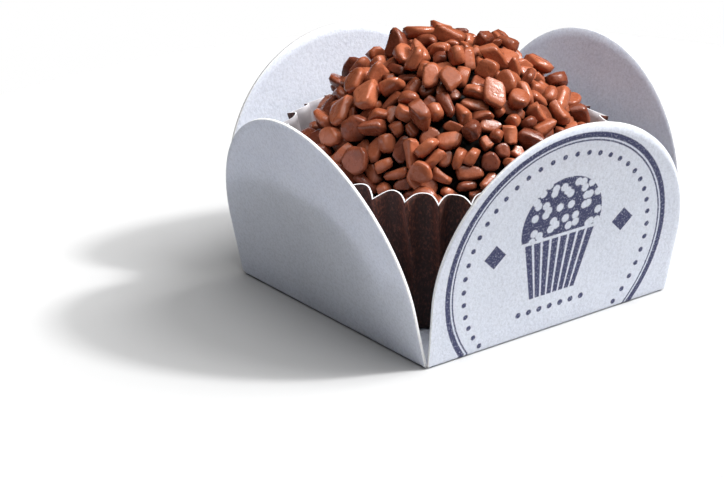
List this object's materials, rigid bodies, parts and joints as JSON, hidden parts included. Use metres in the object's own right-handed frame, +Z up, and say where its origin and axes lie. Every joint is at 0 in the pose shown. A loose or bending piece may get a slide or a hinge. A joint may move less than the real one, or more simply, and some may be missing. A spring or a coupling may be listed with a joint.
{
  "type": "brigadeiro in a fluted paper case and a folded card cup",
  "caption": "Round chocolate truffle rolled in chocolate flakes, in a fluted brown paper case inside a square white card cup with round petals.",
  "frame": {"origin": "centre of the card cup's underside", "axes": "+Z up; the stamped petal faces -Y, and the other petals face +X, +Y and -X"},
  "size_m": [0.0454, 0.044, 0.0298],
  "materials": {
    "chocolate_flakes": "milk chocolate flakes with a waxy gloss over a dark, sticky truffle",
    "brown_paper": "matt dark brown greaseproof paper, white inside",
    "white_card": "uncoated white card with a faint felt texture and a dark blue stamp"
  },
  "bodies": {
    "root": {"brigadeiro": "chocolate_flakes", "paper_case": "brown_paper", "card_cup": "white_card"}
  },
  "joints": []
}
